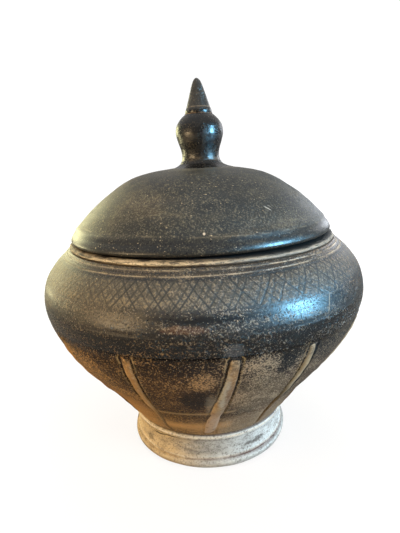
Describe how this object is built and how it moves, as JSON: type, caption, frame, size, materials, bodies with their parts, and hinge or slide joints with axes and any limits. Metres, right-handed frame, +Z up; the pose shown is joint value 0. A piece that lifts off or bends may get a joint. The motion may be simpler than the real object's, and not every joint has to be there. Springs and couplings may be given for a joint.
{
  "type": "lidded clay pot",
  "caption": "Squat black-fired clay jar on a pale foot ring, with applied ribs, a cross-hatched shoulder and a domed lid that lifts off by a pointed knob.",
  "frame": {"origin": "middle of the resting lip of the foot ring, on the surface that the pot stands on", "axes": "+Z up, along the axis of the pot. -Y is the front, where the broad rib is, and +X is to its right"},
  "size_m": [0.2002, 0.2002, 0.2312],
  "materials": {
    "pale_clay": "matt, chalky, smudged grey and tan",
    "smoked_brown_clay": "dull, speckled brown and black",
    "hatched_clay": "burnished, speckled, with scratched cross-hatching",
    "worn_collar_clay": "worn through to pale tan",
    "rib_clay": "worn to tan at the crest",
    "burnished_black_clay": "smoked black, burnished to a low gloss",
    "plain_black_clay": "matt smoked black"
  },
  "bodies": {
    "pot": {"foot_ring": "pale_clay", "lower_bowl": "smoked_brown_clay", "shoulder": "hatched_clay", "neck_collar": "worn_collar_clay", "rib_01": "rib_clay", "rib_02": "rib_clay", "rib_03": "rib_clay", "rib_04": "rib_clay", "rib_05": "rib_clay", "rib_06": "rib_clay", "rib_07": "rib_clay", "rib_08": "rib_clay", "rib_09": "rib_clay", "rib_10": "rib_clay", "rib_11": "rib_clay", "rib_12": "rib_clay", "rib_13": "rib_clay"},
    "lid": {"lid_dome": "burnished_black_clay", "lid_flange": "plain_black_clay", "knob_bulb": "burnished_black_clay", "knob_tip": "burnished_black_clay"}
  },
  "joints": [
    {"name": "lid_lift", "type": "slide", "parent": "pot", "child": "lid", "axis": [0, 0, 1], "range_m": [0, 0.2]}
  ]
}
